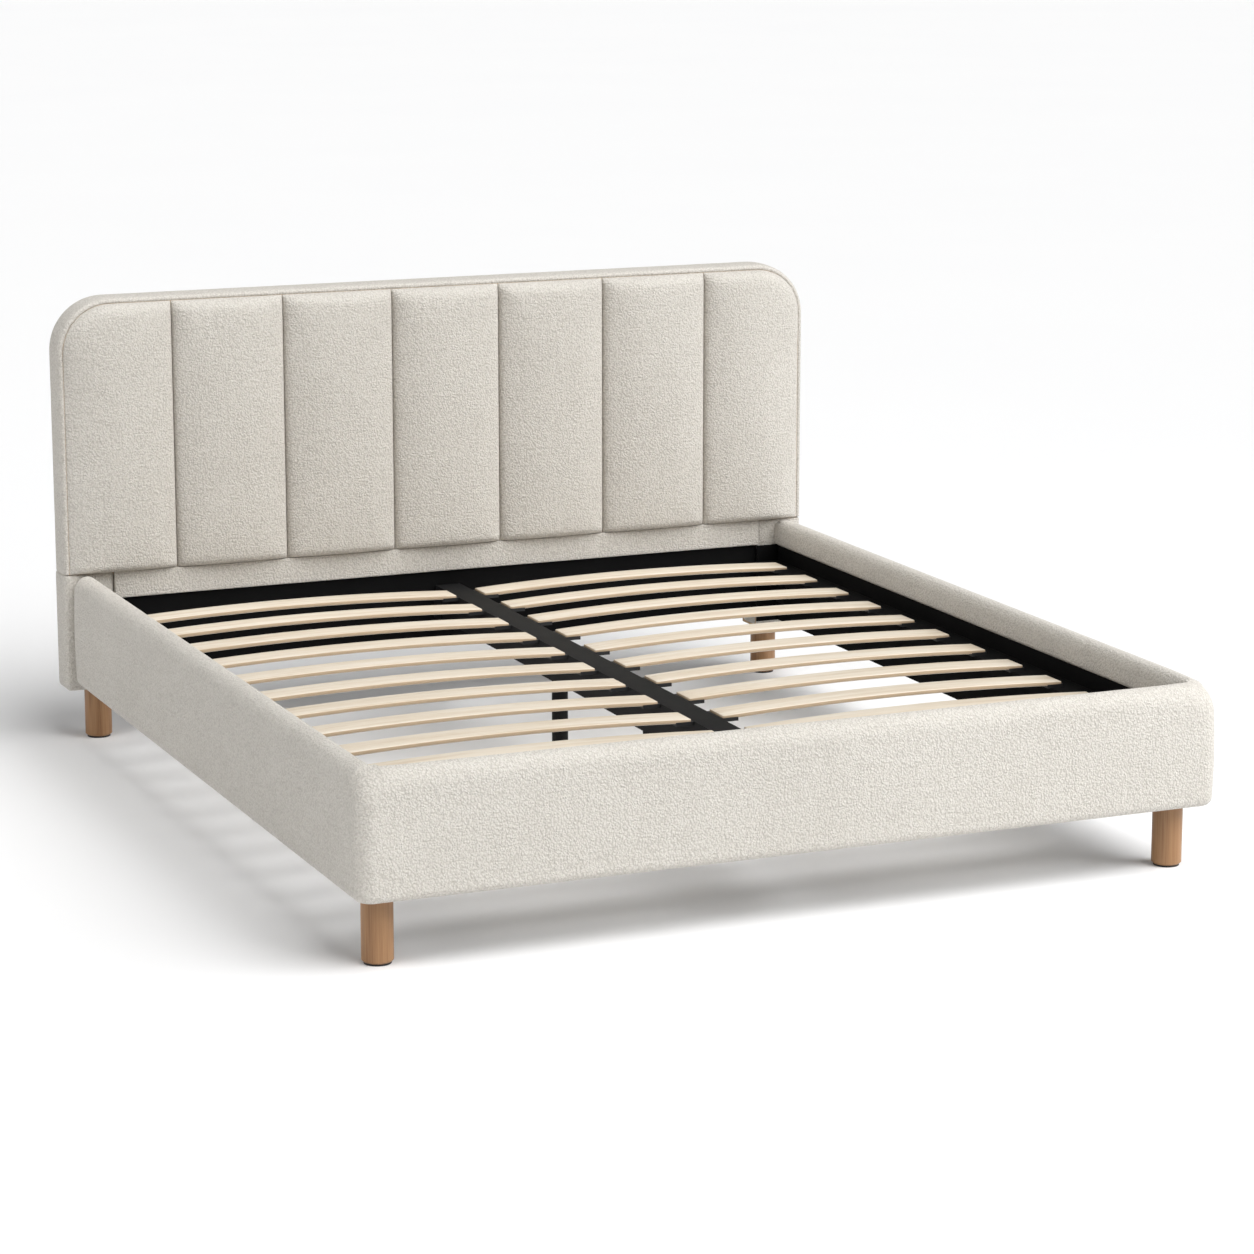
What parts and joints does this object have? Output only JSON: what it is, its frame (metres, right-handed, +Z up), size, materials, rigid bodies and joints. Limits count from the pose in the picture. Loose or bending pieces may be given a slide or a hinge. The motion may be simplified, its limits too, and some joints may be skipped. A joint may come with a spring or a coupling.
{
  "type": "upholstered platform bed",
  "caption": "Upholstered double bed frame with an upright-channelled headboard with rounded corners, padded rails, bowed slats on a centre rail, and round wooden legs.",
  "frame": {"origin": "on the floor, under the middle of the bounding box", "axes": "+X to the right seen from the foot, +Y from the foot to the headboard, +Z up"},
  "size_m": [1.97, 2.174, 1.08],
  "materials": {
    "cream_fabric": "woven, slightly nubbly",
    "frame_timber": "sawn pine",
    "plywood": "unfinished",
    "black_board": "black lining, matt",
    "birch_slat": "satin, bent laminate",
    "black_plastic": "moulded, matt",
    "black_steel": "powder coated, satin",
    "zinc_steel": "zinc plated",
    "oak": "oiled, satin"
  },
  "bodies": {
    "bed_frame": {"centre_leg_1": "black_steel", "centre_leg_2": "black_steel", "centre_rail": "black_steel", "centre_rail_hangers": "black_steel", "corner_blocks": "black_board", "corner_bolts": "zinc_steel", "corner_brackets": "black_steel", "foot_rail_board": "black_board", "foot_rail_cover": "cream_fabric", "head_band": "cream_fabric", "head_rail": "black_board", "headboard_back_cover": "cream_fabric", "headboard_border": "cream_fabric", "headboard_bottom_rail": "frame_timber", "headboard_channel_1": "cream_fabric", "headboard_channel_2": "cream_fabric", "headboard_channel_3": "cream_fabric", "headboard_channel_4": "cream_fabric", "headboard_channel_5": "cream_fabric", "headboard_channel_6": "cream_fabric", "headboard_channel_7": "cream_fabric", "headboard_middle_rail": "frame_timber", "headboard_panel": "plywood", "headboard_stile_left": "frame_timber", "headboard_stile_right": "frame_timber", "headboard_top_rail": "frame_timber", "headboard_wing_left": "cream_fabric", "headboard_wing_right": "cream_fabric", "leg_front_left": "oak", "leg_front_right": "oak", "leg_glides": "black_plastic", "leg_hanger_bolts": "zinc_steel", "leg_plates": "zinc_steel", "leg_rear_left": "oak", "leg_rear_right": "oak", "side_rail_board_left": "black_board", "side_rail_board_right": "black_board", "side_rail_cover_left": "cream_fabric", "side_rail_cover_right": "cream_fabric", "slat_holders_centre": "black_plastic", "slat_holders_side": "black_plastic", "slat_ledge_left": "black_board", "slat_ledge_right": "black_board", "slat_row_01": "birch_slat", "slat_row_02": "birch_slat", "slat_row_03": "birch_slat", "slat_row_04": "birch_slat", "slat_row_05": "birch_slat", "slat_row_06": "birch_slat", "slat_row_07": "birch_slat", "slat_row_08": "birch_slat", "slat_row_09": "birch_slat", "slat_row_10": "birch_slat", "slat_row_11": "birch_slat", "wing_post_left": "frame_timber", "wing_post_right": "frame_timber"},
    "foot_pad_1": {"levelling_pad_1": "black_plastic"},
    "foot_stud_1": {"levelling_stud_1": "zinc_steel"},
    "foot_pad_2": {"levelling_pad_2": "black_plastic"},
    "foot_stud_2": {"levelling_stud_2": "zinc_steel"}
  },
  "joints": [
    {"name": "foot_lift_1", "type": "slide", "parent": "bed_frame", "child": "foot_pad_1", "axis": [0, 0, 1], "range_m": [-0.01, 0.02]},
    {"name": "stud_turn_1", "type": "hinge", "parent": "foot_pad_1", "child": "foot_stud_1", "pos_m": [0, -0.284, 0.006], "axis": [0, 0, 1], "range_deg": [-2400, 4800]},
    {"name": "foot_lift_2", "type": "slide", "parent": "bed_frame", "child": "foot_pad_2", "axis": [0, 0, 1], "range_m": [-0.01, 0.02]},
    {"name": "stud_turn_2", "type": "hinge", "parent": "foot_pad_2", "child": "foot_stud_2", "pos_m": [0, 0.252, 0.006], "axis": [0, 0, 1], "range_deg": [-2400, 4800]}
  ],
  "couplings": [
    {"joint": "stud_turn_1", "follows": "foot_lift_1", "rad_per_m": 4188.8},
    {"joint": "stud_turn_2", "follows": "foot_lift_2", "rad_per_m": 4188.8}
  ]
}
